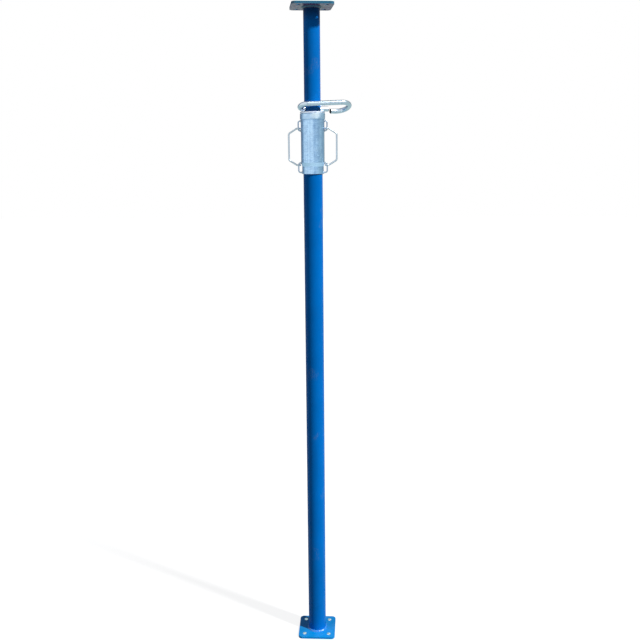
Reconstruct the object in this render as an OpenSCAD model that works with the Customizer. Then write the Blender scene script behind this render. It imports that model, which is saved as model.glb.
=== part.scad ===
// Adjustable steel prop with a covered thread, standing on its base plate.
// Millimetres, +Z up. The origin is the centre of the base plate's underside.
// Tubes, plates and rods are drawn closed to their shortest height, collar screwed down.

/* [Heights] */
// Overall height with the prop closed
closed_h = 1984; // [1930:1:2060]
// Length of the outer tube above its base plate
outer_len = 1655; // [1600:1:1690]
// Length of the inner tube below the head plate
inner_len = 1875; // [1800:5:1900]

/* [Tubes] */
// Outside diameter of the inner tube
inner_od = 48; // [42:0.5:54]
// Wall of the inner tube
inner_wall = 3; // [2:0.1:4.5]
// Gap all round between the inner tube and the outer tube's bore
tube_play = 1.6; // [0.8:0.1:2.5]
// Wall of the outer tube
outer_wall = 2.9; // [2:0.1:4.5]

/* [Pin holes] */
// Number of pin holes along the inner tube
hole_count = 12; // [6:1:13]
// Distance from one pin hole to the next
hole_pitch = 110; // [80:1:115]
// Play of the pin in its holes, all round
hole_play = 1.5; // [0.5:0.1:2.5]

/* [Plates] */
// Side of the square base and head plates
plate_side = 120; // [110:1:150]
// Thickness of both plates
plate_t = 7; // [4:0.5:8]
// Corner radius of the plates
plate_corner = 13; // [5:0.5:18]
// Distance between the bolt holes along each side
bolt_spacing = 80; // [76:1:88]
// Diameter of the bolt holes
bolt_hole_d = 12; // [9:0.5:14]
// Diameter of the drain hole in the middle of each plate
drain_d = 22; // [10:1:30]
// Turn of the head plate and the inner tube about the upright axis
inner_turn = 8; // [-45:1:45]
// Leg of the fillet weld that joins each tube to its plate
plate_weld = 5; // [3:0.5:7]

/* [Thread] */
// Height of the threaded bush at the top of the outer tube
bush_h = 40; // [30:1:45]
// Wall of the threaded bush
bush_wall = 1.5; // [1:0.1:2.5]
// Play between the bush and the sleeve, all round
thread_play = 0.3; // [0.2:0.05:0.6]
// Gap between the outer tube's end and the collar head, screwed down
stop_gap = 1; // [0.5:0.1:3]

/* [Collar] */
// Length of the threaded sleeve below the collar head
sleeve_len = 156; // [150:1:180]
// Wall of the sleeve
sleeve_wall = 4.2; // [3.5:0.1:5]
// Height of the slim neck at the sleeve's lower end
neck_h = 22; // [10:1:30]
// Height of the slope from the neck up to the full sleeve
neck_slope = 11; // [4:1:16]
// How much slimmer the neck is than the sleeve, all round
neck_step = 2.7; // [0.5:0.1:3]
// Height of the collar head above the sleeve
head_h = 17; // [10:0.5:25]
// How far the collar head stands out past the sleeve
head_lip = 2.2; // [1:0.1:5]
// Depth of the head's spigot inside the sleeve
spigot_h = 5; // [3:0.5:10]
// Gap all round between the inner tube and the collar head's bore
head_play = 1.2; // [0.6:0.1:2]
// Bevel on the rims of the collar head, the sleeve and the washer
rim_bevel = 1.2; // [0.4:0.1:2]

/* [Load washer] */
// Thickness of the loose washer that the pin bears on
washer_t = 5; // [3.5:0.5:9]
// Gap all round between the inner tube and the washer
washer_play = 0.75; // [0.4:0.05:1.5]
// How far the washer's rim lies inside the collar head's rim
washer_inset = 0.5; // [0:0.1:2]

/* [Handle staples] */
// Diameter of the staples' rod
staple_d = 4; // [3:0.5:6]
// Height of each staple between its two legs
staple_h = 28; // [24:0.5:36]
// Bend radius at the staples' corners
staple_bend = 6; // [4:0.5:7]
// Width of the weld bead at each staple leg
staple_weld = 1.8; // [1:0.1:2.5]
// Gap between the outermost weld beads and the sleeve's ends
staple_edge = 0.2; // [0.2:0.1:4]

/* [Handles] */
// Diameter of the handles' rod
handle_d = 5; // [4:0.5:7]
// Distance of the grip from the prop's axis
grip_out = 70.6; // [62:0.2:90]
// Length of the grip between its two corners
grip_len = 76; // [60:1:90]
// Bend radius at the grip's corners
grip_bend = 8; // [5:0.5:12]
// Distance of each handle eye from the middle of its staple
eye_drop = 7.5; // [4:0.5:8]
// Play between a handle's eye and its staple, and between the eye and the sleeve
eye_play = 0.4; // [0.3:0.05:0.8]

/* [Pin] */
// Diameter of the pin's rod
pin_d = 14; // [12:0.5:16]
// Heading of the pin in plan, counted from the head plate's side
pin_heading = 15; // [-30:1:30]
// Lift of the pin's loop above level
pin_lift = 22; // [10:1:32]
// How far the pin's end reaches past the prop's axis
pin_reach = 50; // [46:1:54]
// Gap between the inner tube and the start of the near bend
near_gap = 1.5; // [1:0.5:10]
// Radius of the near bend, along the rod's middle
near_bend = 17.5; // [17:0.5:24]
// Angle at which the front leg spreads from the pin
pin_splay = 6.7; // [5:0.1:9]
// Length of the straight front leg
front_leg = 101.5; // [98:0.5:125]
// How far the tail's line lies past the pin's own line
tail_drop = 14; // [0:0.5:16]
// Gap along the pin between its end and the tail's end
tail_gap = 9.5; // [3:0.5:12]
// Bevel on the pin's ends
pin_bevel = 1.5; // [0.5:0.1:3]

/* [Hidden] */
// Gap between pieces that rest on each other but move apart
rest_gap = 0.3;
// Gap between curved faces that are welded or pressed together
seat = 0.05;
// Bevel on the tubes' cut ends
tube_bevel = 0.5;
// Bevel on the cut ends of the thin rods
rod_bevel = 0.4;
// How far a rod's straights run into its bends, and how much slimmer they are
joint_lap = 0.5;
joint_step = 0.02;
// Facets on every round
$fn = 96;
// Overlap that lets a cutting shape clear a face
cut = 1;

inner_r = inner_od / 2;
outer_bore = inner_r + tube_play;
outer_r = outer_bore + outer_wall;
outer_top = plate_t + outer_len;
bush_r = outer_r + bush_wall;
sleeve_bore = bush_r + thread_play;
sleeve_r = sleeve_bore + sleeve_wall;
sleeve_top = outer_top + stop_gap + spigot_h;
sleeve_bottom = sleeve_top - sleeve_len;
neck_r = sleeve_r - neck_step;
neck_top = sleeve_bottom + neck_h;
shoulder_z = neck_top + neck_slope;
head_r = sleeve_r + head_lip;
head_top = sleeve_top + head_h;
washer_r = head_r - washer_inset;
washer_bottom = head_top + rest_gap;
washer_top = washer_bottom + washer_t;
pin_r = pin_d / 2;
pin_z = washer_top + rest_gap + pin_r;
hole_r = pin_r + hole_play;
// the tube hangs on the pin, so the pin lies at the top of its hole
hole_z = pin_z - hole_play + rest_gap;
inner_top = closed_h - plate_t;
staple_r = staple_d / 2;
handle_r = handle_d / 2;
eye_r = staple_r + eye_play + handle_r;
limb_x = sleeve_r + eye_play + handle_r + eye_r;
// each staple's middle lies this far inside its end of the sleeve
staple_inset = staple_edge + staple_weld + staple_r + staple_h / 2;
staple_low_z = sleeve_bottom + staple_inset;
staple_high_z = sleeve_top - staple_inset;
handle_mid_z = (staple_low_z + staple_high_z) / 2;
eye_half = (staple_high_z - staple_low_z) / 2 - eye_drop;
grip_arm = grip_out - limb_x;
arm_run = grip_arm - eye_r;
arm_fall = eye_half - grip_len / 2;
arm_angle = atan2(arm_fall, arm_run);
arm_len = norm([arm_run, arm_fall]);
// the neck's and the bush's rims lose half of their walls to the bevel
neck_bevel = (sleeve_wall - neck_step) / 2;
bush_bevel = bush_wall / 2;
// a corner's bend takes this much off each straight beside it
corner_trim = grip_bend * tan((90 - arm_angle) / 2);
// the pin's loop, in its own plane with the pin along X
near_x = -(inner_r + near_gap);
leg_rise = near_bend * (1 + cos(pin_splay)) + front_leg * sin(pin_splay);
far_bend = (leg_rise + tail_drop) / (1 + cos(pin_splay));
far_x = near_x + front_leg * cos(pin_splay) + (far_bend - near_bend) * sin(pin_splay);
tail_len = far_x - pin_reach - tail_gap;

// Square outline with round corners
module rounded_square(side, corner) {
    square([side - 2 * corner, side], center = true);
    square([side, side - 2 * corner], center = true);
    for (x = [-1, 1], y = [-1, 1])
        translate([x, y] * (side / 2 - corner)) circle(r = corner);
}

// End plate with its four bolt holes and its drain hole, underside at Z = 0
module end_plate() {
    linear_extrude(plate_t) difference() {
        rounded_square(plate_side, plate_corner);
        for (x = [-1, 1], y = [-1, 1])
            translate([x, y] * bolt_spacing / 2) circle(d = bolt_hole_d);
        circle(d = drain_d);
    }
}

// Ring turned from an inner and an outer radius, with bevels on the outer rims
module ring(inner, outer, low, high, bevel_low, bevel_high) {
    rotate_extrude() polygon([
        [inner, low], [outer - bevel_low, low], [outer, low + bevel_low],
        [outer, high - bevel_high], [outer - bevel_high, high], [inner, high]
    ]);
}

// Fillet weld round a tube that stands on Z = 0, with a slightly crowned face
module fillet_weld(tube_r, leg) {
    crown = [for (a = [0:22.5:90]) [tube_r + seat + leg * (1 - sin(a)) ^ 0.8, leg * (1 - cos(a)) ^ 0.8]];
    rotate_extrude() polygon(concat([[tube_r + seat, 0]], crown));
}

// Straight round rod along +X from low to high, with both ends bevelled
module straight_rod(rod_r, low, high, bevel) {
    rotate([0, 90, 0]) rotate_extrude() polygon([
        [0, low], [rod_r - bevel, low], [rod_r, low + bevel],
        [rod_r, high - bevel], [rod_r - bevel, high], [0, high]
    ]);
}

// Rod bent in the XY plane, from the origin along +X. Each step is a straight run, the
// radius of the bend after it and the turn of that bend, positive to the left.
module bent_rod(steps, rod_r, bevel, i = 0) {
    run = steps[i][0];
    bend = steps[i][1];
    turn = steps[i][2];
    side = sign(turn);
    straight_rod(rod_r - joint_step, i == 0 ? 0 : -joint_lap, turn == 0 ? run : run + joint_lap,
        bevel);
    if (turn != 0) translate([run, side * bend, 0]) {
        rotate([0, 0, turn > 0 ? -90 : 90 + turn])
            rotate_extrude(angle = abs(turn)) translate([bend, 0]) circle(r = rod_r);
        rotate([0, 0, turn]) translate([0, -side * bend, 0])
            bent_rod(steps, rod_r, bevel, i + 1);
    }
}

module base_plate() {
    color("#0f5fae") end_plate();
}

module base_weld() {
    color("#0d569e") translate([0, 0, plate_t]) fillet_weld(outer_r, plate_weld);
}

module outer_tube() {
    color("#1168bd") ring(outer_bore, outer_r, plate_t, outer_top, tube_bevel, tube_bevel);
}

// Short male thread that is welded on at the tube's end; its ridges are left plain
module thread_bush() {
    color("#8d949b")
        ring(outer_r + seat, bush_r, outer_top - bush_h, outer_top, bush_bevel, bush_bevel);
}

module load_washer() {
    color("#b9c0c6")
        ring(inner_r + washer_play, washer_r, washer_bottom, washer_top, rim_bevel, rim_bevel);
}

// Head that closes the sleeve, with a spigot inside it and a lip outside
module collar_head() {
    color("#a9b7c4") {
        ring(inner_r + head_play, head_r, sleeve_top, head_top, rim_bevel, rim_bevel);
        translate([0, 0, sleeve_top - spigot_h]) difference() {
            cylinder(r = sleeve_bore - seat, h = spigot_h);
            translate([0, 0, -cut]) cylinder(r = inner_r + head_play, h = spigot_h + 2 * cut);
        }
    }
}

// Long female thread over the bush, turned down to a neck at its lower end; its ridges
// are left plain
module thread_sleeve() {
    color("#a7b4c0") rotate_extrude() polygon([
        [sleeve_bore, sleeve_bottom], [neck_r - neck_bevel, sleeve_bottom],
        [neck_r, sleeve_bottom + neck_bevel], [neck_r, neck_top], [sleeve_r, shoulder_z],
        [sleeve_r, sleeve_top - tube_bevel], [sleeve_r - tube_bevel, sleeve_top],
        [sleeve_bore, sleeve_top]
    ]);
}

// All the room inside the sleeve's outer face, and a seat's gap more
module sleeve_room() {
    rotate_extrude() polygon([
        [0, sleeve_bottom - cut], [neck_r + seat, sleeve_bottom - cut],
        [neck_r + seat, neck_top], [sleeve_r + seat, shoulder_z],
        [sleeve_r + seat, sleeve_top + cut], [0, sleeve_top + cut]
    ]);
}

// Radius of the sleeve's outer face at a height
function face_r(z) =
    neck_r + neck_step * min(1, max(0, (z - neck_top) / neck_slope));

// Staple on the +X side of the sleeve, its two legs cut to the sleeve's face
module staple(mid_z) {
    leg = limb_x - staple_bend - sleeve_r / 2;
    limb = staple_h - 2 * staple_bend;
    difference() {
        translate([sleeve_r / 2, 0, mid_z + staple_h / 2]) rotate([-90, 0, 0])
            bent_rod([[leg, staple_bend, 90], [limb, staple_bend, 90], [leg, 0, 0]],
                staple_r, rod_bevel);
        sleeve_room();
    }
}

// Weld beads round the four staple legs on the +X side
module staple_welds() {
    half_weld = staple_weld / 2;
    for (mid_z = [staple_low_z, staple_high_z], end = [-1, 1]) {
        leg_z = mid_z + end * staple_h / 2;
        difference() {
            translate([sleeve_r / 2, 0, leg_z]) rotate([0, 90, 0]) {
                cylinder(r = staple_r + staple_weld, h = face_r(leg_z) - sleeve_r / 2 + half_weld);
                translate([0, 0, face_r(leg_z) - sleeve_r / 2 + half_weld])
                    cylinder(r1 = staple_r + staple_weld, r2 = staple_r + half_weld,
                        h = half_weld);
            }
            translate([0, 0, leg_z]) rotate([0, 90, 0])
                cylinder(r = staple_r + seat, h = 2 * sleeve_r);
            sleeve_room();
        }
    }
}

// Handle on the +X side: an eye round each staple, and one bent rod between the eyes
module handle() {
    arm = arm_len - corner_trim;
    grip = grip_len - 2 * corner_trim;
    corner = arm_angle - 90;
    color("#b4bcc2") translate([limb_x, 0, handle_mid_z]) {
        for (end = [-1, 1]) translate([0, 0, end * eye_half])
            rotate_extrude() translate([eye_r, 0]) circle(r = handle_r);
        translate([eye_r, 0, eye_half]) rotate([90, 0, 0]) rotate([0, 0, -arm_angle])
            bent_rod([[arm, grip_bend, corner], [grip, grip_bend, corner], [arm, 0, 0]],
                handle_r, rod_bevel);
    }
}

module staple_upper_right() {
    color("#aab3ba") staple(staple_high_z);
}

module staple_lower_right() {
    color("#aab3ba") staple(staple_low_z);
}

module staple_upper_left() {
    rotate([0, 0, 180]) staple_upper_right();
}

module staple_lower_left() {
    rotate([0, 0, 180]) staple_lower_right();
}

module staple_welds_right() {
    color("#9aa2a8") staple_welds();
}

module staple_welds_left() {
    rotate([0, 0, 180]) staple_welds_right();
}

module handle_right() {
    handle();
}

module handle_left() {
    rotate([0, 0, 180]) handle();
}

// Inner tube with a row of pin holes right through it, below the collar and in it
module inner_tube() {
    color("#1168bd") rotate([0, 0, inner_turn]) difference() {
        ring(inner_r - inner_wall, inner_r, inner_top - inner_len, inner_top,
            tube_bevel, tube_bevel);
        for (i = [0:hole_count - 1])
            translate([0, 0, hole_z - i * hole_pitch]) rotate([0, 0, pin_heading])
                rotate([0, 90, 0]) cylinder(r = hole_r, h = 2 * inner_od, center = true);
    }
}

module head_plate() {
    color("#0f5fae") translate([0, 0, inner_top]) rotate([0, 0, inner_turn]) end_plate();
}

module head_weld() {
    color("#0d569e") translate([0, 0, inner_top]) mirror([0, 0, 1])
        fillet_weld(inner_r, plate_weld);
}

// Pin bent from one rod: through the tube, round the near bend, along the front,
// round the far bend, and back beside its own line
module g_pin() {
    near_turn = 180 - pin_splay;
    far_turn = 180 + pin_splay;
    color("#c3c9ce") translate([0, 0, pin_z]) rotate([0, 0, inner_turn + pin_heading])
        rotate([-pin_lift, 0, 0]) translate([pin_reach, 0, 0]) rotate([0, 0, 180])
            bent_rod([
                [pin_reach - near_x, near_bend, near_turn],
                [front_leg, far_bend, far_turn],
                [tail_len, 0, 0]
            ], pin_r, pin_bevel);
}

base_plate();
base_weld();
outer_tube();
thread_bush();
load_washer();
collar_head();
thread_sleeve();
staple_upper_left();
staple_lower_left();
staple_upper_right();
staple_lower_right();
staple_welds_left();
staple_welds_right();
handle_left();
handle_right();
inner_tube();
head_plate();
head_weld();
g_pin();
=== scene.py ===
import math

import bpy
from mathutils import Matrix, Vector, noise


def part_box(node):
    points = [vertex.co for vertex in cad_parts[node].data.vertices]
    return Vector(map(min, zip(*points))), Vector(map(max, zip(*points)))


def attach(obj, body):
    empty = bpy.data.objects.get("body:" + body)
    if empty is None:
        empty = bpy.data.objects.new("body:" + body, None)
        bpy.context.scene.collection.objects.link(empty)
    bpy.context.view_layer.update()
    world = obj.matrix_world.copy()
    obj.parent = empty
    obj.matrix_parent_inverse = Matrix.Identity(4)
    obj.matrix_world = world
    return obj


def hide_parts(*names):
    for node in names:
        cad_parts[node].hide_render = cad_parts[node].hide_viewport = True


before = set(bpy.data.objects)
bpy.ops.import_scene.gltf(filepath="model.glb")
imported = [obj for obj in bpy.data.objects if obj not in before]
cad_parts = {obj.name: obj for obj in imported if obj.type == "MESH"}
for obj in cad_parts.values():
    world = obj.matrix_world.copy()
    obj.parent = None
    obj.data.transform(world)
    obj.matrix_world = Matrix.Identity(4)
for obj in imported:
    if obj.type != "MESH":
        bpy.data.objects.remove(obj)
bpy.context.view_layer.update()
print("frame loaded:", len(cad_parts), "solids")


# camera, floor, lamps and world

studio = {
    "cameraPlace": (0.139, -2.3645, 1.598),
    "cameraTilt": 77.384,      # degrees from straight down
    "cameraHeading": 2.951,
    "cameraRoll": -0.463,
    "lens": 44.23,
    "sunHeading": 60,          # degrees round from the front, towards +X
    "sunHeight": 45,
    "sunStrength": 3.7,
    "sunSize": 4.5,            # degrees, sets how soft the shadows are
    "ambient": (0.16, 0.17, 0.195),
    "floorColour": (0.22, 0.22, 0.22),
    "floorGlow": 0.88,
    "floorMirror": (0.33, 0.47, 0.46),    # what bright metal sees of the floor
    "floorPale": (0.9, 0.95, 1.0),        # what it sees further ahead of the prop
    "floorPaleFrom": (-3.3, -4.6),
    "floorSize": 30,
    "horizon": (-0.1, -0.2),              # where bright metal stops seeing the walls
    "walls": [                            # what it sees all round, starting behind
        (0.0, (0.20, 0.22, 0.25)), (0.17, (0.24, 0.29, 0.35)), (0.226, (0.5, 0.6, 0.7)),
        (0.236, (1, 1, 1)), (0.528, (1, 1, 1)), (0.536, (0.58, 0.66, 0.74)),
        (0.8, (0.5, 0.58, 0.58)), (1.0, (0.28, 0.3, 0.3))],
}


def fromHeading(heading, height):
    # unit vector towards a heading counted from the front, and a height above level
    h, e = math.radians(heading), math.radians(height)
    return Vector((math.sin(h) * math.cos(e), -math.cos(h) * math.cos(e), math.sin(e)))


def makeCamera():
    data = bpy.data.cameras.new("viewCamera")
    data.lens = studio["lens"]
    data.sensor_width = 36
    camera = bpy.data.objects.new("viewCamera", data)
    camera.location = studio["cameraPlace"]
    camera.rotation_euler = (
        math.radians(studio["cameraTilt"]), 0, math.radians(studio["cameraHeading"]))
    camera.rotation_euler.rotate_axis("Z", math.radians(studio["cameraRoll"]))
    bpy.context.collection.objects.link(camera)
    bpy.context.scene.camera = camera


def makeSun():
    data = bpy.data.lights.new("keySun", "SUN")
    data.energy = studio["sunStrength"]
    data.angle = math.radians(studio["sunSize"])
    sun = bpy.data.objects.new("keySun", data)
    towards = fromHeading(studio["sunHeading"], studio["sunHeight"])
    sun.rotation_euler = towards.to_track_quat("Z", "Y").to_euler()
    bpy.context.collection.objects.link(sun)


def put(tree, kind, inputs=None, **settings):
    # adds one shader node; an input is a plain value or another node's output
    node = tree.nodes.new("ShaderNode" + kind)
    for key, value in settings.items():
        setattr(node, key, value)
    for key, value in (inputs or {}).items():
        if isinstance(value, bpy.types.NodeSocket):
            tree.links.new(value, node.inputs[key])
        else:
            node.inputs[key].default_value = value
    return node


def math2(tree, operation, a, b=0.0, clamp=False):
    node = put(tree, "Math", {0: a, 1: b}, operation=operation, use_clamp=clamp)
    return node.outputs[0]


def math3(tree, operation, a, b, c):
    return put(tree, "Math", {0: a, 1: b, 2: c}, operation=operation).outputs[0]


def ease(tree, value, low, high, toLow=0.0, toHigh=1.0):
    # smooth step between two limits
    node = put(tree, "MapRange", {
        "Value": value, "From Min": low, "From Max": high,
        "To Min": toLow, "To Max": toHigh}, interpolation_type="SMOOTHSTEP")
    return node.outputs["Result"]


def blendColour(tree, mask, a, b):
    node = put(tree, "Mix", {0: mask, 6: a, 7: b}, data_type="RGBA")
    return node.outputs[2]


def blendValue(tree, mask, a, b):
    node = put(tree, "Mix", {0: mask, 2: a, 3: b}, data_type="FLOAT")
    return node.outputs[0]


def speckle(tree, vector, scale, detail=2.0, roughness=0.5):
    node = put(tree, "TexNoise", {
        "Vector": vector, "Scale": scale, "Detail": detail, "Roughness": roughness})
    return node.outputs["Fac"]


def stretch(tree, vector, scale, turn=(0, 0, 0)):
    node = put(tree, "Mapping", {"Vector": vector, "Scale": scale, "Rotation": turn})
    return node.outputs["Vector"]


def makeWorld():
    world = bpy.data.worlds.new("studioWorld")
    bpy.context.scene.world = world
    world.use_nodes = True
    tree = world.node_tree
    tree.nodes.clear()
    rays = put(tree, "LightPath").outputs
    shiny = math2(tree, "MAXIMUM", rays["Is Glossy Ray"], rays["Is Transmission Ray"])
    seen = math2(tree, "MAXIMUM", rays["Is Camera Ray"], shiny)
    way = put(tree, "SeparateXYZ", {0: put(tree, "TexCoord").outputs["Generated"]})
    back = math2(tree, "MULTIPLY", way.outputs["Y"], -1.0)
    heading = math2(tree, "ARCTAN2", way.outputs["X"], back)
    turn = math3(tree, "MULTIPLY_ADD", heading, 0.5 / math.pi, 0.5)
    ramp = put(tree, "ValToRGB", {"Fac": turn})
    stops = ramp.color_ramp.elements
    while len(stops) < len(studio["walls"]):
        stops.new(0.5)
    for stop, (position, colour) in zip(stops, studio["walls"]):
        stop.position = position
        stop.color = (*colour, 1)
    below = ease(tree, way.outputs["Z"], *studio["horizon"])
    mirror = blendColour(tree, below, ramp.outputs["Color"], (*studio["floorMirror"], 1))
    white = blendColour(tree, shiny, (1, 1, 1, 1), mirror)
    soft = put(tree, "Background", {"Color": (*studio["ambient"], 1), "Strength": 1.0})
    clear = put(tree, "Background", {"Color": white, "Strength": 1.0})
    both = put(tree, "MixShader", {0: seen, 1: soft.outputs[0], 2: clear.outputs[0]})
    out = put(tree, "OutputWorld")
    tree.links.new(both.outputs[0], out.inputs["Surface"])


def makeFloor():
    half = studio["floorSize"] / 2
    mesh = bpy.data.meshes.new("floorSheet")
    mesh.from_pydata(
        [(-half, -half, 0), (half, -half, 0), (half, half, 0), (-half, half, 0)],
        [], [(0, 1, 2, 3)])
    floor = bpy.data.objects.new("floorSheet", mesh)
    bpy.context.collection.objects.link(floor)
    material = bpy.data.materials.new("floorPale")
    material.use_nodes = True
    tree = material.node_tree
    tree.nodes.clear()
    rays = put(tree, "LightPath").outputs
    seen = math2(tree, "MAXIMUM", rays["Is Camera Ray"], rays["Is Transmission Ray"])
    direct = blendColour(tree, seen, (0, 0, 0, 1), (*[studio["floorGlow"]] * 3, 1))
    at = put(tree, "SeparateXYZ", {0: put(tree, "TexCoord").outputs["Object"]})
    ahead = ease(tree, at.outputs["Y"], *studio["floorPaleFrom"])
    mirror = blendColour(tree, ahead, (*studio["floorMirror"], 1), (*studio["floorPale"], 1))
    glow = blendColour(tree, rays["Is Glossy Ray"], direct, mirror)
    matt = put(tree, "BsdfDiffuse", {"Color": (*studio["floorColour"], 1)})
    pale = put(tree, "Emission", {"Color": glow, "Strength": 1.0})
    both = put(tree, "AddShader", {0: matt.outputs[0], 1: pale.outputs[0]})
    out = put(tree, "OutputMaterial")
    tree.links.new(both.outputs[0], out.inputs["Surface"])
    mesh.materials.append(material)


bpy.context.scene.view_settings.view_transform = "Standard"
makeCamera()
makeSun()
makeWorld()
makeFloor()
print("studio ready")


# shared effects

def makeGroup(name, inputs, outputs):
    group = bpy.data.node_groups.new(name, "ShaderNodeTree")
    for label, kind, value in inputs:
        socket = group.interface.new_socket(
            label, in_out="INPUT", socket_type="NodeSocket" + kind)
        if value is not None:
            socket.default_value = value
    for label, kind in outputs:
        group.interface.new_socket(label, in_out="OUTPUT", socket_type="NodeSocket" + kind)
    return group, group.nodes.new("NodeGroupInput").outputs, group.nodes.new("NodeGroupOutput")


filmForm = {
    "toneScale": 7.0, "toneSpan": (0.3, 0.7),
    "runStretch": (62, 62, 2.6), "runSpan": (0.52, 0.78), "runShade": 0.82,
    "runHeight": 1.5,
    "dullScale": 38.0, "dullSpan": (0.3, 0.7), "dullRange": (-0.07, 0.07),
}


def paintFilmGroup():
    # dipped paint: slow changes of tone, long runs and a fine peel
    group, given, out = makeGroup("paintFilm", [
        ("Vector", "Vector", None), ("Colour", "Color", (0.01, 0.165, 0.56, 1)),
        ("Tone Spread", "Float", 0.08), ("Run Strength", "Float", 0.5),
        ("Peel Size", "Float", 0.0016)],
        [("Colour", "Color"), ("Roughness", "Float"), ("Height", "Float")])
    broad = speckle(group, given["Vector"], filmForm["toneScale"], 3.0)
    long = speckle(group, stretch(group, given["Vector"], filmForm["runStretch"]), 1.0, 2.0)
    runs = math2(group, "MULTIPLY", ease(group, long, *filmForm["runSpan"]),
                 given["Run Strength"])
    low = math2(group, "SUBTRACT", 1.0, given["Tone Spread"])
    high = math2(group, "ADD", 1.0, given["Tone Spread"])
    tone = ease(group, broad, *filmForm["toneSpan"], low, high)
    shade = ease(group, runs, 0.0, 1.0, 1.0, filmForm["runShade"])
    tone = math2(group, "MULTIPLY", tone, shade)
    tinted = put(group, "VectorMath", {0: given["Colour"], "Scale": tone}, operation="SCALE")
    fine = math2(group, "DIVIDE", 1.0, given["Peel Size"])
    peel = speckle(group, given["Vector"], fine, 1.0)
    height = math3(group, "MULTIPLY_ADD", runs, filmForm["runHeight"], peel)
    patches = speckle(group, given["Vector"], filmForm["dullScale"], 4.0)
    dull = ease(group, patches, *filmForm["dullSpan"], *filmForm["dullRange"])
    group.links.new(tinted.outputs[0], out.inputs["Colour"])
    group.links.new(dull, out.inputs["Roughness"])
    group.links.new(height, out.inputs["Height"])
    return group


wearForm = {"edgeSpan": (0.995, 0.86), "maskSpan": (0.3, 0.42), "samples": 6}


def edgeWearGroup():
    # rubbed edges and corners, broken up by grain
    group, given, out = makeGroup("edgeWear", [
        ("Vector", "Vector", None), ("Width", "Float", 0.0015),
        ("Amount", "Float", 0.4), ("Grain", "Float", 0.003)], [("Mask", "Float")])
    rounded = put(group, "Bevel", {"Radius": given["Width"]}, samples=wearForm["samples"])
    plain = put(group, "NewGeometry")
    match = put(group, "VectorMath", {
        0: rounded.outputs[0], 1: plain.outputs["Normal"]}, operation="DOT_PRODUCT")
    edge = ease(group, match.outputs["Value"], *wearForm["edgeSpan"])
    grain = speckle(group, given["Vector"], math2(group, "DIVIDE", 1.0, given["Grain"]), 3.0)
    broken = math3(group, "MULTIPLY_ADD", edge, given["Amount"],
                   math2(group, "SUBTRACT", grain, 0.5))
    group.links.new(ease(group, broken, *wearForm["maskSpan"]), out.inputs["Mask"])
    return group


scuffForm = {
    "lays": ((0.5, 9.0), (-0.7, 7.0), (1.35, 8.0)),    # turn and fineness of each lay
    "length": 0.9, "sideTurn": 0.6, "lineWidth": 0.012,
    "patchScale": 0.35, "patchLimit": 0.78, "patchGrowth": -0.35, "patchEdge": 0.08,
}


def scuffGroup():
    # thin scratches in loose patches
    group, given, out = makeGroup("scuffs", [
        ("Vector", "Vector", None), ("Amount", "Float", 0.4), ("Size", "Float", 0.02)],
        [("Mask", "Float")])
    scale = math2(group, "DIVIDE", 1.0, given["Size"])
    sized = put(group, "VectorMath", {0: given["Vector"], "Scale": scale}, operation="SCALE")
    lines = None
    for turn, fine in scuffForm["lays"]:
        laid = stretch(group, sized.outputs[0], (fine, fine, scuffForm["length"]),
                       (turn, turn * scuffForm["sideTurn"], 0))
        level = math2(group, "SUBTRACT", speckle(group, laid, 1.0, 1.0), 0.5)
        line = ease(group, math2(group, "ABSOLUTE", level), scuffForm["lineWidth"], 0.0)
        lines = line if lines is None else math2(group, "MAXIMUM", lines, line)
    patch = speckle(group, sized.outputs[0], scuffForm["patchScale"], 2.0)
    limit = math3(group, "MULTIPLY_ADD", given["Amount"], scuffForm["patchGrowth"],
                  scuffForm["patchLimit"])
    patches = ease(group, math2(group, "SUBTRACT", patch, limit), 0.0, scuffForm["patchEdge"])
    group.links.new(math2(group, "MULTIPLY", lines, patches), out.inputs["Mask"])
    return group


dustForm = {
    "upSpan": (0.15, 0.95),
    "cloudScale": 60.0, "cloudRoughness": 0.65, "cloudSpan": (0.38, 0.72),
    "gritScale": 900.0, "gritSpan": (0.62, 0.74),
}


def dustGroup():
    # dry dust that lies on what faces up
    group, given, out = makeGroup("dustFilm", [
        ("Vector", "Vector", None), ("Amount", "Float", 0.3), ("Settle", "Float", 0.7)],
        [("Mask", "Float")])
    plain = put(group, "NewGeometry")
    up = put(group, "SeparateXYZ", {0: plain.outputs["Normal"]}).outputs["Z"]
    lying = ease(group, up, *dustForm["upSpan"])
    bare = math2(group, "SUBTRACT", 1.0, given["Settle"])
    lying = math2(group, "MAXIMUM", lying, bare)
    cloud = speckle(group, given["Vector"], dustForm["cloudScale"], 5.0,
                    dustForm["cloudRoughness"])
    cloud = ease(group, cloud, *dustForm["cloudSpan"])
    grit = speckle(group, given["Vector"], dustForm["gritScale"], 1.0)
    grit = ease(group, grit, *dustForm["gritSpan"])
    both = math2(group, "MAXIMUM", cloud, grit)
    mask = math2(group, "MULTIPLY", math2(group, "MULTIPLY", lying, both), given["Amount"])
    group.links.new(mask, out.inputs["Mask"])
    return group


bloomForm = {
    "warpScale": 1.3, "warpAmount": (0.9, 0.9, 0.9), "cellSmoothness": 0.35,
    "cloudScale": 0.55, "cloudRoughness": 0.62, "cloudShare": 0.5,
    "grainScale": 11.0, "grainHeight": 0.35,
    "lineStretch": (1, 1, 0.01), "crossStretch": (90, 90, 330),
    "roughnessSpread": 0.35,
}


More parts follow.
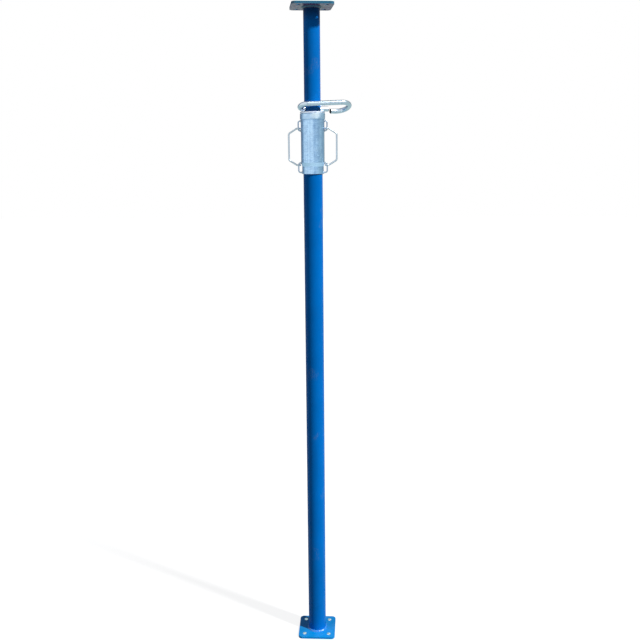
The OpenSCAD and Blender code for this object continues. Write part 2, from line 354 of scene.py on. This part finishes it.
def zincBloomGroup():
    # cloudy zinc: soft cells, fine grain and faint draw lines
    group, given, out = makeGroup("zincBloom", [
        ("Vector", "Vector", None), ("Cell Size", "Float", 0.006),
        ("Contrast", "Float", 0.5), ("Draw Lines", "Float", 0.3),
        ("Line Size", "Float", 0.0011), ("Cross Marks", "Float", 0.0)],
        [("Tone", "Float"), ("Roughness", "Float"), ("Height", "Float")])
    scale = math2(group, "DIVIDE", 1.0, given["Cell Size"])
    sized = put(group, "VectorMath", {0: given["Vector"], "Scale": scale}, operation="SCALE")
    warp = put(group, "TexNoise", {
        "Vector": sized.outputs[0], "Scale": bloomForm["warpScale"], "Detail": 2.0})
    bent = put(group, "VectorMath", {
        0: warp.outputs["Color"], 1: bloomForm["warpAmount"], 2: sized.outputs[0]},
        operation="MULTIPLY_ADD")
    cells = put(group, "TexVoronoi", {
        "Vector": bent.outputs[0], "Scale": 1.0,
        "Smoothness": bloomForm["cellSmoothness"]}, feature="SMOOTH_F1")
    cell = put(group, "SeparateColor", {0: cells.outputs["Color"]}).outputs["Red"]
    cloud = speckle(group, sized.outputs[0], bloomForm["cloudScale"], 5.0,
                    bloomForm["cloudRoughness"])
    grain = speckle(group, sized.outputs[0], bloomForm["grainScale"], 2.0)
    fine = math2(group, "DIVIDE", 1.0, given["Line Size"])
    drawn = speckle(group, stretch(group, given["Vector"], bloomForm["lineStretch"]), fine, 1.0)
    drawn = math2(group, "MULTIPLY", math2(group, "SUBTRACT", drawn, 0.5), given["Draw Lines"])
    marks = speckle(group, stretch(group, given["Vector"], bloomForm["crossStretch"]), 1.0, 2.0)
    marks = math2(group, "MULTIPLY", math2(group, "SUBTRACT", marks, 0.5), given["Cross Marks"])
    drawn = math2(group, "ADD", drawn, marks)
    mixed = blendValue(group, bloomForm["cloudShare"], cell, cloud)
    mixed = math2(group, "MULTIPLY", math2(group, "SUBTRACT", mixed, 0.5), given["Contrast"])
    tone = math2(group, "ADD", math2(group, "ADD", mixed, drawn), 0.5, True)
    rough = math2(group, "MULTIPLY", math2(group, "SUBTRACT", cloud, 0.5),
                  bloomForm["roughnessSpread"])
    height = math3(group, "MULTIPLY_ADD", grain, bloomForm["grainHeight"],
                   math2(group, "ADD", cell, drawn))
    group.links.new(tone, out.inputs["Tone"])
    group.links.new(rough, out.inputs["Roughness"])
    group.links.new(height, out.inputs["Height"])
    return group


effects = {
    "film": paintFilmGroup(),
    "wear": edgeWearGroup(),
    "scuffs": scuffGroup(),
    "dust": dustGroup(),
    "bloom": zincBloomGroup(),
}


def useEffect(tree, effect, values):
    node = tree.nodes.new("ShaderNodeGroup")
    node.node_tree = effects[effect]
    for key, value in values.items():
        if isinstance(value, bpy.types.NodeSocket):
            tree.links.new(value, node.inputs[key])
        else:
            node.inputs[key].default_value = value
    return node.outputs


def startMaterial(name):
    material = bpy.data.materials.new(name)
    material.use_nodes = True
    tree = material.node_tree
    shader = tree.nodes["Principled BSDF"]
    where = put(tree, "TexCoord").outputs["Object"]
    return material, tree, shader, where


def coverPatch(tree, mask, surface, patch):
    # lays a patch's own colour, roughness and metal over a surface
    colour, rough, metal = surface
    return (blendColour(tree, mask, colour, patch["colour"]),
            blendValue(tree, mask, rough, patch["roughness"]),
            blendValue(tree, mask, metal, patch["metal"]))


def finishMaterial(tree, shader, surface, height, depth):
    for label, value in zip(("Base Color", "Roughness", "Metallic"), surface):
        tree.links.new(value, shader.inputs[label])
    bump = put(tree, "Bump", {"Strength": 1.0, "Distance": depth, "Height": height})
    tree.links.new(bump.outputs[0], shader.inputs["Normal"])


def facing(tree, low, high):
    # mask by how far a face looks up (1) or down (-1) on its own piece
    normal = put(tree, "TexCoord").outputs["Normal"]
    return ease(tree, put(tree, "SeparateXYZ", {0: normal}).outputs["Z"], low, high)


# blue paint on tubes, plates and their welds

paintLook = {
    "metalUnder": (0.30, 0.31, 0.33, 1), "dustColour": (0.26, 0.34, 0.42, 1),
    "scratchShare": 0.45, "bareDepth": 1.2, "wornMetal": 0.8, "dustRoughness": 0.35,
    "undersideFrom": (-0.6, -0.9), "topFrom": (0.6, 0.9),
}
tubePaint = {
    "colour": (0.0, 0.165, 0.59, 1), "spread": 0.07, "runs": 0.45,
    "wear": 0.25, "scuffs": 0.5, "dust": 0.16, "settle": 0.95,
    "roughness": 0.4, "shine": 0.16, "shineTint": (0.02, 0.3, 0.8, 1), "depth": 0.00012,
}
innerPaint = {
    "colour": (0.0, 0.17, 0.6, 1), "spread": 0.08, "runs": 0.4,
    "wear": 0.3, "scuffs": 0.55, "dust": 0.14, "settle": 0.9,
    "roughness": 0.4, "shine": 0.2, "shineTint": (0.08, 0.3, 0.8, 1), "depth": 0.00012,
    "paintedShades": [
        # painted shadow: a dark band on the tube just under the head plate
        {"reach": 0.04, "span": (1.93, 1.972, 2.0, 2.01), "amount": 0.8,
         "colour": (0.004, 0.02, 0.06, 1)},
        # painted shadow: a dark band above the washer, where the pin's shadow falls
        {"reach": 0.04, "span": (1.62, 1.66, 1.6985, 1.705), "amount": 0.6,
         "colour": (0.02, 0.045, 0.055, 1)}],
}
basePaint = {
    "colour": (0.0, 0.27, 0.70, 1), "spread": 0.2, "runs": 0.2,
    "wear": 0.12, "scuffs": 0.35, "dust": 0.1, "settle": 0.75,
    "roughness": 0.26, "shine": 0.4, "shineTint": (0.2, 0.6, 1.0, 1), "depth": 0.00018,
    # painted light: pale mirror walls in the bolt holes make the holes look bright
    "brightBores": {"middle": 0.04, "outer": 0.0064, "inner": 0.0061, "roughness": 0.25,
              "metal": 1.0, "colour": (0.93, 0.96, 1.0, 1)},
}
headPaint = {
    # painted reflection: the underside colour stands in for floor light reflected at a grazing
    # angle
    "colour": (0.015, 0.17, 0.3, 1), "undersideReflection": (0.22, 0.09, 0.24, 1),
    "spread": 0.14, "runs": 0.2,
    "wear": 0.25, "scuffs": 0.45, "dust": 0.2, "settle": 0.3,
    "roughness": 0.24, "shine": 0.5, "shineTint": (0.8, 0.9, 1.0, 1), "depth": 0.00018,
    "paintedShades": [
        # painted shade and painted reflection: the head plate's underside and weld darker round
        # the tube
        {"reach": 0.03, "span": (1.9, 1.93, 2.0, 2.01), "amount": 0.85,
         "colour": (0.0, 0.015, 0.04, 1)}],
}
beadPaint = {
    "colour": (0.0, 0.21, 0.68, 1), "spread": 0.12, "runs": 0.1,
    "wear": 0.15, "scuffs": 0.1, "dust": 0.1, "settle": 0.7,
    "roughness": 0.16, "shine": 1.0, "shineTint": (1.0, 1.0, 1.0, 1), "depth": 0.0002,
}


paintedShadeForm = {"edge": 0.012, "cloudScale": 55.0, "cloudSpan": (0.25, 0.6), "least": 0.7}


def paintedShadeMask(tree, where, paintedShade):
    # painted shade: a dark band held round the tube over a span of height
    at = put(tree, "SeparateXYZ", {0: where})
    flat = put(tree, "CombineXYZ", {0: at.outputs["X"], 1: at.outputs["Y"]})
    out = put(tree, "VectorMath", {0: flat.outputs[0]}, operation="LENGTH").outputs["Value"]
    near = ease(tree, out, paintedShade["reach"] + paintedShadeForm["edge"], paintedShade["reach"])
    start, full, fade, end = paintedShade["span"]
    high = math2(tree, "MULTIPLY", ease(tree, at.outputs["Z"], start, full),
                 ease(tree, at.outputs["Z"], end, fade))
    cloud = speckle(tree, where, paintedShadeForm["cloudScale"], 4.0)
    cloud = ease(tree, cloud, *paintedShadeForm["cloudSpan"], paintedShadeForm["least"], 1.0)
    both = math2(tree, "MULTIPLY", near, high)
    return math2(tree, "MULTIPLY", math2(tree, "MULTIPLY", both, cloud), paintedShade["amount"])


def brightBoreMask(tree, where, brightBores):
    # painted light: the walls of the four bolt holes, coloured as pale mirror metal so that the
    # holes look bright
    at = put(tree, "SeparateXYZ", {0: where})
    x = math2(tree, "ABSOLUTE", at.outputs["X"])
    y = math2(tree, "ABSOLUTE", at.outputs["Y"])
    corner = put(tree, "CombineXYZ", {0: x, 1: y})
    away = put(tree, "VectorMath", {
        0: corner.outputs[0], 1: (brightBores["middle"], brightBores["middle"], 0)}, operation="DISTANCE")
    return ease(tree, away.outputs["Value"], brightBores["outer"], brightBores["inner"])


def makePaint(name, look):
    material, tree, shader, where = startMaterial(name)
    colour = look.get("undersideReflection", look["colour"])
    # painted shade: each band darkens the paint's colour
    for paintedShade in look.get("paintedShades", []):
        colour = blendColour(tree, paintedShadeMask(tree, where, paintedShade), colour, paintedShade["colour"])
    # painted reflection: faces that look down take the underside colour, faces that look up
    # take the base plate's blue, and the edges keep the darker teal
    if "undersideReflection" in look:
        underside = facing(tree, *paintLook["undersideFrom"])
        colour = blendColour(tree, underside, look["colour"], colour)
        top = facing(tree, *paintLook["topFrom"])
        colour = blendColour(tree, top, colour, basePaint["colour"])
    film = useEffect(tree, "film", {
        "Vector": where, "Colour": colour,
        "Tone Spread": look["spread"], "Run Strength": look["runs"]})
    worn = useEffect(tree, "wear", {"Vector": where, "Amount": look["wear"]})["Mask"]
    scratched = useEffect(tree, "scuffs", {"Vector": where, "Amount": look["scuffs"]})["Mask"]
    dusty = useEffect(tree, "dust", {
        "Vector": where, "Amount": look["dust"], "Settle": look["settle"]})["Mask"]
    faint = math2(tree, "MULTIPLY", scratched, paintLook["scratchShare"])
    bare = math2(tree, "MAXIMUM", worn, faint)
    colour = blendColour(tree, bare, film["Colour"], paintLook["metalUnder"])
    colour = blendColour(tree, dusty, colour, paintLook["dustColour"])
    rough = math2(tree, "ADD", film["Roughness"], look["roughness"])
    dull = math2(tree, "MULTIPLY", dusty, paintLook["dustRoughness"])
    rough = math2(tree, "ADD", rough, dull, True)
    metal = math2(tree, "MULTIPLY", worn, paintLook["wornMetal"])
    surface = colour, rough, metal
    # painted light: the bolt hole walls made pale mirror metal
    if "brightBores" in look:
        surface = coverPatch(
            tree, brightBoreMask(tree, where, look["brightBores"]), surface, look["brightBores"])
    depth = math2(tree, "MULTIPLY", bare, paintLook["bareDepth"])
    height = math2(tree, "SUBTRACT", film["Height"], depth)
    shader.inputs["Specular IOR Level"].default_value = look["shine"]
    shader.inputs["Specular Tint"].default_value = look["shineTint"]
    finishMaterial(tree, shader, surface, height, look["depth"])
    return material


# zinc on the collar, washer, staples, handles and pin

zincLook = {
    "wearWidth": 0.001, "scuffSize": 0.014, "settle": 0.6, "lineSize": 0.0011,
    "scratchShare": 0.5, "brightPolish": 0.1, "dustRoughness": 0.3, "dustCover": 0.8,
    "slopeFrom": (-0.08, -0.16),
}


def palePatchMask(tree, where, palePatch):
    # a pale, rough patch with a ragged edge
    ragged = put(tree, "TexNoise", {
        "Vector": where, "Scale": palePatch["edgeScale"], "Detail": 2.0})
    moved = put(tree, "VectorMath", {
        0: ragged.outputs["Color"], 1: [palePatch["ragged"]] * 3, 2: where},
        operation="MULTIPLY_ADD")
    middle = [c + palePatch["ragged"] / 2 for c in palePatch["middle"]]
    away = put(tree, "VectorMath", {0: moved.outputs[0], 1: middle}, operation="DISTANCE")
    full = palePatch["size"] * palePatch["core"]
    return ease(tree, away.outputs["Value"], palePatch["size"], full, 0.0, palePatch["amount"])


def shadedEndMask(tree, where, ends):
    # painted shade: the pin's two cut ends, which face each other across a gap, coloured near
    # black
    turn, tilt = math.radians(ends["heading"]), math.radians(ends["tilt"])
    along = Vector((math.cos(turn), math.sin(turn), 0))
    across = Vector((-math.sin(turn) * math.cos(tilt), math.cos(turn) * math.cos(tilt),
                     -math.sin(tilt)))
    pinLine = Vector((0, 0, ends["height"])).dot(across)
    reach = put(tree, "VectorMath", {0: where, 1: along}, operation="DOT_PRODUCT")
    reach = math2(tree, "SUBTRACT", reach.outputs["Value"], ends["middle"])
    near = ease(tree, math2(tree, "ABSOLUTE", reach), *ends["reachSpan"])
    aside = put(tree, "VectorMath", {0: where, 1: across}, operation="DOT_PRODUCT")
    low, high = [pinLine + offset for offset in ends["sideSpan"]]
    return math2(tree, "MULTIPLY", near, ease(tree, aside.outputs["Value"], low, high))


def makeZinc(name, look):
    material, tree, shader, where = startMaterial(name)
    bloom = useEffect(tree, "bloom", {
        "Vector": where, "Cell Size": look["cell"], "Contrast": look["contrast"],
        "Draw Lines": look["drawLines"],
        "Line Size": look.get("lineSize", zincLook["lineSize"]),
        "Cross Marks": look.get("crossMarks", 0.0)})
    worn = useEffect(tree, "wear", {
        "Vector": where, "Amount": look["wear"], "Width": zincLook["wearWidth"]})["Mask"]
    scratched = useEffect(tree, "scuffs", {
        "Vector": where, "Amount": look["scuffs"], "Size": zincLook["scuffSize"]})["Mask"]
    dusty = useEffect(tree, "dust", {
        "Vector": where, "Amount": look["dust"], "Settle": zincLook["settle"]})["Mask"]
    colour = blendColour(tree, bloom["Tone"], look["dark"], look["light"])
    faint = math2(tree, "MULTIPLY", scratched, zincLook["scratchShare"])
    bright = math2(tree, "MAXIMUM", worn, faint)
    colour = blendColour(tree, bright, colour, look["rubbed"])
    colour = blendColour(tree, dusty, colour, look["chalk"])
    rough = math2(tree, "ADD", bloom["Roughness"], look["roughness"])
    polish = math2(tree, "MULTIPLY", bright, zincLook["brightPolish"])
    rough = math2(tree, "SUBTRACT", rough, polish)
    dull = math2(tree, "MULTIPLY", dusty, zincLook["dustRoughness"])
    rough = math2(tree, "ADD", rough, dull, True)
    cover = math2(tree, "MULTIPLY", dusty, zincLook["dustCover"])
    metal = math2(tree, "SUBTRACT", 1.0, cover)
    # painted reflection: faces that look down are made pale and rougher, in place of the pale
    # reflection on the sleeve's lower neck
    if "slopeSheenColour" in look:
        slope = facing(tree, *zincLook["slopeFrom"])
        colour = blendColour(tree, slope, colour, look["slopeSheenColour"])
        rough = blendValue(tree, slope, rough, look["slopeRoughness"])
    surface = colour, rough, metal
    for key, maskOf in (("palePatch", palePatchMask), ("shadedEnds", shadedEndMask)):
        if key in look:
            surface = coverPatch(tree, maskOf(tree, where, look[key]), surface, look[key])
    height = math2(tree, "SUBTRACT", bloom["Height"], scratched)
    finishMaterial(tree, shader, surface, height, look["depth"])
    return material


sleeveLook = {
    "dark": (0.32, 0.52, 0.77, 1), "light": (0.50, 0.75, 1.0, 1),
    "rubbed": (0.66, 0.80, 0.96, 1), "chalk": (0.52, 0.60, 0.70, 1),
    "cell": 0.007, "contrast": 1.1, "drawLines": 1.1, "lineSize": 0.0035,
    "crossMarks": 1.3,
    "wear": 0.45, "scuffs": 0.45, "dust": 0.25, "roughness": 0.19, "depth": 0.00009,
    # painted reflection: a pale colour for faces that look down
    "slopeSheenColour": (0.56, 0.78, 1.0, 1), "slopeRoughness": 0.55,
}
ringLook = {
    "dark": (0.34, 0.52, 0.76, 1), "light": (0.56, 0.80, 1.0, 1),
    "rubbed": (0.72, 0.86, 0.98, 1), "chalk": (0.56, 0.66, 0.76, 1),
    "cell": 0.008, "contrast": 1.2, "drawLines": 0.1,
    "wear": 0.45, "scuffs": 0.45, "dust": 0.25, "roughness": 0.22, "depth": 0.00009,
    "palePatch": {"middle": (0.0125, -0.034, 1.684), "size": 0.021, "core": 0.25,
              "amount": 0.75, "edgeScale": 160.0, "ragged": 0.014,
              "roughness": 0.6, "metal": 0.3, "colour": (0.78, 0.88, 0.92, 1)},
}
washerLook = {
    "dark": (0.66, 0.74, 0.90, 1), "light": (0.93, 0.96, 1.0, 1),
    "rubbed": (0.95, 0.97, 1.0, 1), "chalk": (0.85, 0.88, 0.95, 1),
    "cell": 0.006, "contrast": 0.9, "drawLines": 0.1,
    "wear": 0.5, "scuffs": 0.45, "dust": 0.2, "roughness": 0.5, "depth": 0.00009,
}
stapleLook = {
    "dark": (0.34, 0.42, 0.52, 1), "light": (0.52, 0.62, 0.74, 1),
    "rubbed": (0.68, 0.75, 0.84, 1), "chalk": (0.52, 0.56, 0.6, 1),
    "cell": 0.003, "contrast": 0.8, "drawLines": 0.1,
    "wear": 0.3, "scuffs": 0.4, "dust": 0.2, "roughness": 0.32, "depth": 0.00006,
}
pinLook = {
    "dark": (0.50, 0.60, 0.68, 1), "light": (0.74, 0.84, 0.95, 1),
    "rubbed": (0.86, 0.9, 0.95, 1), "chalk": (0.66, 0.68, 0.7, 1),
    "cell": 0.004, "contrast": 0.8, "drawLines": 0.0,
    "wear": 0.3, "scuffs": 0.5, "dust": 0.15, "roughness": 0.26, "depth": 0.00006,
    # painted shade: the pin's end faces coloured near black for the shade they lie in
    "shadedEnds": {"heading": 23, "tilt": 22, "height": 1.6976, "middle": 0.05475,
                "reachSpan": (0.007, 0.0066), "sideSpan": (-0.012, -0.011),
                "roughness": 0.6, "metal": 0.0, "colour": (0.012, 0.02, 0.02, 1)},
}
handleLook = {
    "dark": (0.48, 0.55, 0.62, 1), "light": (0.66, 0.73, 0.79, 1),
    "rubbed": (0.78, 0.83, 0.88, 1), "chalk": (0.58, 0.62, 0.68, 1),
    "cell": 0.003, "contrast": 0.8, "drawLines": 0.0,
    "wear": 0.3, "scuffs": 0.5, "dust": 0.15, "roughness": 0.45, "depth": 0.00006,
}
weldLook = {
    "dark": (0.28, 0.31, 0.35, 1), "light": (0.56, 0.60, 0.66, 1),
    "rubbed": (0.7, 0.74, 0.8, 1), "chalk": (0.5, 0.5, 0.5, 1),
    "cell": 0.0015, "contrast": 1.0, "drawLines": 0.0,
    "wear": 0.2, "scuffs": 0.1, "dust": 0.3, "roughness": 0.42, "depth": 0.00008,
}
threadLook = {
    "dark": (0.16, 0.17, 0.18, 1), "light": (0.42, 0.43, 0.45, 1),
    "rubbed": (0.6, 0.6, 0.62, 1), "chalk": (0.2, 0.18, 0.15, 1),
    "cell": 0.003, "contrast": 0.8, "drawLines": 0.2,
    "wear": 0.4, "scuffs": 0.3, "dust": 0.3, "roughness": 0.34, "depth": 0.00005,
}

finishes = {
    "paintTube": makePaint("paintTube", tubePaint),
    "paintInner": makePaint("paintInner", innerPaint),
    "paintBase": makePaint("paintBase", basePaint),
    "paintHead": makePaint("paintHead", headPaint),
    "paintBead": makePaint("paintBead", beadPaint),
    "zincSleeve": makeZinc("zincSleeve", sleeveLook),
    "zincRing": makeZinc("zincRing", ringLook),
    "zincWasher": makeZinc("zincWasher", washerLook),
    "zincStaple": makeZinc("zincStaple", stapleLook),
    "zincPin": makeZinc("zincPin", pinLook),
    "zincHandle": makeZinc("zincHandle", handleLook),
    "zincWeld": makeZinc("zincWeld", weldLook),
    "threadSteel": makeZinc("threadSteel", threadLook),
}
print("finishes ready:", len(finishes))


edgeRound = {"segments": 3, "leastAngle": 35}    # degrees between the faces of an edge


def finishNode(node, finish, bevel):
    # gives a solid its material, and a small round on its sharp edges
    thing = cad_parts[node]
    thing.data.materials.clear()
    thing.data.materials.append(finishes[finish])
    if bevel:
        rounder = thing.modifiers.new("edgeRound", "BEVEL")
        rounder.width = bevel
        rounder.segments = edgeRound["segments"]
        rounder.limit_method = "ANGLE"
        rounder.angle_limit = math.radians(edgeRound["leastAngle"])
        rounder.harden_normals = True


nodeFinishes = {
    "base_plate": ("paintBase", 0.0007),
    "head_plate": ("paintHead", 0.0007),
    "outer_tube": ("paintTube", 0.0),
    "inner_tube": ("paintInner", 0.0),
    "load_washer": ("zincWasher", 0.0006),
    "collar_head": ("zincRing", 0.0),
    "thread_sleeve": ("zincSleeve", 0.0005),
    "staple_upper_left": ("zincStaple", 0.0),
    "staple_lower_left": ("zincStaple", 0.0),
    "staple_upper_right": ("zincStaple", 0.0),
    "staple_lower_right": ("zincStaple", 0.0),
    "handle_left": ("zincHandle", 0.0),
    "handle_right": ("zincHandle", 0.0),
    "g_pin": ("zincPin", 0.0),
}
for node, (finish, bevel) in nodeFinishes.items():
    finishNode(node, finish, bevel)


# pieces made here in place of plain solids

def addPiece(name, points, faces, finish, body, nodes):
    mesh = bpy.data.meshes.new(name)
    mesh.from_pydata([tuple(p) for p in points], [], faces)
    mesh.validate()
    mesh.polygons.foreach_set("use_smooth", [True] * len(mesh.polygons))
    mesh.materials.append(finishes[finish])
    thing = bpy.data.objects.new(name, mesh)
    bpy.context.collection.objects.link(thing)
    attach(thing, body)
    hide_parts(*nodes)
    return thing


def ringFaces(around, across, first=0):
    # quads of a closed loop swept round a closed ring
    faces = []
    for i in range(around):
        for j in range(across):
            a = first + i * across + j
            b = first + i * across + (j + 1) % across
            c = first + ((i + 1) % around) * across + (j + 1) % across
            d = first + ((i + 1) % around) * across + j
            faces.append((a, b, c, d))
    return faces


weldBead = {
    "ripple": 0.0031,      # length of one ripple along the bead
    "rippleHeight": 0.00034,
    "bulge": 0.0007,
    "lag": 0.32,           # how far each ripple bows along the bead
    "wander": 0.0004,
    "wanderTurns": 2.3,    # how quickly the size wanders round the tube
    "wanderHeight": 5,
    "scallop": 0.55,       # below 1, the ripples' valleys are sharper
    "scallopMiddle": 0.6,
    "rippleFade": 3,       # how soon the ripples rise from the bead's edges
    "slant": 0.707,
    "stepsPerRipple": 8,
    "across": 13,
    "sink": 0.0003,
}


def rippledWeld(name, node, tube, upward, body, finish):
    low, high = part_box(node)
    leg = high[2] - low[2]
    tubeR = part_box(tube)[1][0] if tube == "outer_tube" else (high[0] - leg)
    plateZ = low[2] if upward else high[2]
    side = 1 if upward else -1
    middle = tubeR + leg / 2
    ripples = round(2 * math.pi * middle / weldBead["ripple"])
    around = ripples * weldBead["stepsPerRipple"]
    across = weldBead["across"]
    points = []
    for i in range(around):
        turn = 2 * math.pi * i / around
        c, s = math.cos(turn), math.sin(turn)
        at = Vector((c * weldBead["wanderTurns"], s * weldBead["wanderTurns"],
                     plateZ * weldBead["wanderHeight"]))
        drift = noise.noise(at) * weldBead["wander"]
        size = leg + drift - weldBead["wander"] / 2
        for j in range(across):
            t = j / (across - 1)
            hump = math.sin(math.pi * t)
            along = ripples * i / around - weldBead["lag"] * hump
            scallop = abs(math.sin(math.pi * along)) ** weldBead["scallop"]
            scallop -= weldBead["scallopMiddle"]
            swell = weldBead["bulge"] * hump
            swell += weldBead["rippleHeight"] * scallop * min(1, weldBead["rippleFade"] * hump)
            out = size * t + swell * weldBead["slant"]
            up = size * (1 - t) + swell * weldBead["slant"]
            points.append(((tubeR + out) * c, (tubeR + out) * s, plateZ + side * up))
        sunk = weldBead["sink"]
        points.append(((tubeR + size) * c, (tubeR + size) * s, plateZ - side * sunk))
        points.append(((tubeR - sunk) * c, (tubeR - sunk) * s, plateZ - side * sunk))
        points.append(((tubeR - sunk) * c, (tubeR - sunk) * s, plateZ + side * size))
    faces = ringFaces(around, across + 3)
    if not upward:
        faces = [f[::-1] for f in faces]
    return addPiece(name, points, faces, finish, body, [node])


def outerFace(node):
    # a round solid's largest radii and their heights, from its own mesh
    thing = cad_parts[node]
    rings = {}
    for vertex in thing.data.vertices:
        x, y, z = thing.matrix_world @ vertex.co
        z = round(z, 5)
        rings[z] = max(rings.get(z, 0), math.hypot(x, y))
    return sorted(rings.items())


def radiusAt(rings, height):
    for (lowZ, lowR), (highZ, highR) in zip(rings, rings[1:]):
        if lowZ <= height <= highZ:
            return lowR + (highR - lowR) * (height - lowZ) / (highZ - lowZ)
    return rings[-1][1]


stapleBead = {
    "wide": 0.00165, "wideLumps": 0.12, "tall": 0.0019, "tallLumps": 0.3,
    "lumpTurns": 1.4, "lumpSeeds": (7, 3, 2.0),    # for each staple, leg and side
    "crown": 0.8, "rodSink": 0.0002, "sleeveSink": 0.0004,
    "around": 40, "across": 9,
}


def stapleWelds(side):
    # lumpy collars of weld round the four legs of one side's staples
    sign = 1 if side == "right" else -1
    rings = outerFace("thread_sleeve")
    points, faces = [], []
    around, across, sink = (stapleBead[key] for key in ("around", "across", "rodSink"))
    perStaple, perLeg, perSide = stapleBead["lumpSeeds"]
    for k, staple in enumerate(("staple_upper_", "staple_lower_")):
        low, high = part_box(staple + side)
        rod = (high[1] - low[1]) / 2
        for m, legZ in enumerate((low[2] + rod, high[2] - rod)):
            first = len(points)
            sleeveR = radiusAt(rings, legZ)
            for i in range(around):
                turn = 2 * math.pi * i / around
                c, s = math.cos(turn), math.sin(turn)
                lump = noise.noise(Vector((
                    c * stapleBead["lumpTurns"] + perStaple * k,
                    s * stapleBead["lumpTurns"] + perLeg * m, sign * perSide)))
                wide = stapleBead["wide"] * (1 + stapleBead["wideLumps"] * lump)
                tall = stapleBead["tall"] * (1 + stapleBead["tallLumps"] * lump)
                for j in range(across):
                    t = j / (across - 1)
                    away = rod - sink + (wide + sink) * math.sin(t * math.pi / 2)
                    rise = tall * math.cos(t * math.pi / 2) ** stapleBead["crown"]
                    y, z = away * c, away * s
                    x = math.sqrt(sleeveR ** 2 - y ** 2) + rise
                    points.append((sign * x, y * sign, legZ + z))
                for away in (rod + wide, rod - sink):
                    y, z = away * c, away * s
                    x = math.sqrt(sleeveR ** 2 - y ** 2) - stapleBead["sleeveSink"]
                    points.append((sign * x, y * sign, legZ + z))
            faces += ringFaces(around, across + 2, first)
    return addPiece("staple_weld_beads_" + side, points, faces, "zincWeld",
                    "collar", ["staple_welds_" + side])


thread = {"pitch": 0.008, "depth": 0.0011, "fade": 0.004, "around": 120, "perPitch": 12}


def threadRing():
    # rolled round thread on the bush
    low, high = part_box("thread_bush")
    crest = high[0]
    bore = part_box("outer_tube")[1][0]
    rows = round((high[2] - low[2]) / thread["pitch"] * thread["perPitch"])
    points = []
    for i in range(thread["around"]):
        turn = 2 * math.pi * i / thread["around"]
        c, s = math.cos(turn), math.sin(turn)
        for j in range(rows + 1):
            z = low[2] + (high[2] - low[2]) * j / rows
            phase = z / thread["pitch"] - i / thread["around"]
            wave = 0.5 - 0.5 * math.cos(2 * math.pi * phase)
            fade = min(1, (z - low[2]) / thread["fade"], (high[2] - z) / thread["fade"])
            r = crest - thread["depth"] * (wave if fade >= 1 else 1 - (1 - wave) * fade)
            points.append((r * c, r * s, z))
        points.append((bore * c, bore * s, high[2]))
        points.append((bore * c, bore * s, low[2]))
    faces = [f[::-1] for f in ringFaces(thread["around"], rows + 3)]
    return addPiece("thread_ring", points, faces, "threadSteel", "outer",
                    ["thread_bush"])


rippledWeld("base_weld_bead", "base_weld", "outer_tube", True, "outer", "paintBead")
rippledWeld("head_weld_bead", "head_weld", "inner_tube", False, "inner", "paintHead")
stapleWelds("left")
stapleWelds("right")
threadRing()
print("detail pieces ready")
